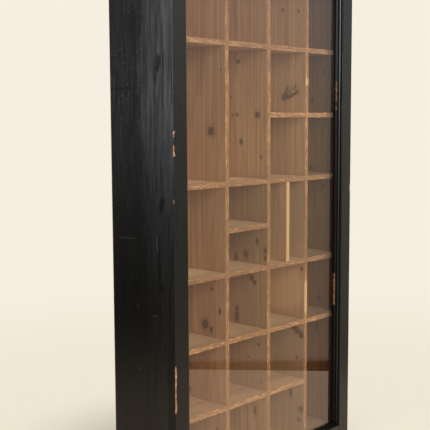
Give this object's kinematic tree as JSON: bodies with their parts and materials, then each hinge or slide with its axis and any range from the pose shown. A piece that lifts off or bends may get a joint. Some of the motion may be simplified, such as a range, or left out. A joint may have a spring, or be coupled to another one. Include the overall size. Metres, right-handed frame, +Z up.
{
  "type": "glazed display case",
  "caption": "Tall display case: black-stained pine carcase, cross-lapped lattice of open compartments and a glazed door on side hinges.",
  "frame": {"origin": "on the floor under the middle of the case, halfway across its width and halfway through its depth with the door", "axes": "+Z up, +X to the right seen from the front, the glazed door faces -Y"},
  "size_m": [0.9083, 0.2644, 1.88],
  "materials": {
    "black_stained_pine": "black stained and waxed pine, worn at the arrises, brown-stained on the faces inside the case",
    "brown_stained_pine": "brown-stained sawn pine",
    "raw_pine": "planed pine, unfinished",
    "steel": "zinc-plated steel, dulled",
    "window_glass": "clear float glass",
    "brown_plastic": "moulded brown plastic"
  },
  "bodies": {
    "case": {"side_panel_left": "black_stained_pine", "side_panel_right": "black_stained_pine", "top_panel": "black_stained_pine", "bottom_panel": "brown_stained_pine", "divider_1": "brown_stained_pine", "divider_2": "brown_stained_pine", "divider_3": "brown_stained_pine", "upright_half": "brown_stained_pine", "shelf_1": "brown_stained_pine", "shelf_2": "brown_stained_pine", "shelf_3": "brown_stained_pine", "shelf_4": "brown_stained_pine", "shelf_5": "brown_stained_pine", "shelf_6": "brown_stained_pine", "shelf_7": "brown_stained_pine", "shelf_8": "brown_stained_pine", "back_board_1": "brown_stained_pine", "back_board_2": "brown_stained_pine", "back_board_3": "brown_stained_pine", "back_board_4": "brown_stained_pine", "back_board_5": "brown_stained_pine", "fixing_rail": "brown_stained_pine", "plinth_front": "raw_pine", "plinth_back": "raw_pine", "centre_bearer": "raw_pine", "glue_blocks": "raw_pine", "back_nails": "steel", "catch_pole_plates": "steel", "catch_screws": "steel", "hinge_pins": "steel", "hinge_case_screws": "steel", "hinge_case_leaf_top": "steel", "hinge_case_leaf_middle": "steel", "hinge_case_leaf_bottom": "steel", "catch_housing_upper": "brown_plastic", "catch_housing_lower": "brown_plastic"},
    "door": {"door_stile_left": "black_stained_pine", "door_stile_right": "black_stained_pine", "door_rail_top": "black_stained_pine", "door_rail_bottom": "black_stained_pine", "moulding_left": "black_stained_pine", "moulding_right": "black_stained_pine", "moulding_top": "black_stained_pine", "moulding_bottom": "black_stained_pine", "glazing_strip_left": "black_stained_pine", "glazing_strip_right": "black_stained_pine", "glazing_strip_top": "black_stained_pine", "glazing_strip_bottom": "black_stained_pine", "strike_plate_upper": "steel", "strike_plate_lower": "steel", "strike_screws": "steel", "hinge_door_screws": "steel", "glazing_pins": "steel", "hinge_door_leaf_top": "steel", "hinge_door_leaf_middle": "steel", "hinge_door_leaf_bottom": "steel", "glass_pane": "window_glass"}
  },
  "joints": [
    {"name": "door_hinge", "type": "hinge", "parent": "case", "child": "door", "pos_m": [0.4543, -0.1, 0.945], "axis": [0, 0, 1], "range_deg": [0, 180]}
  ]
}
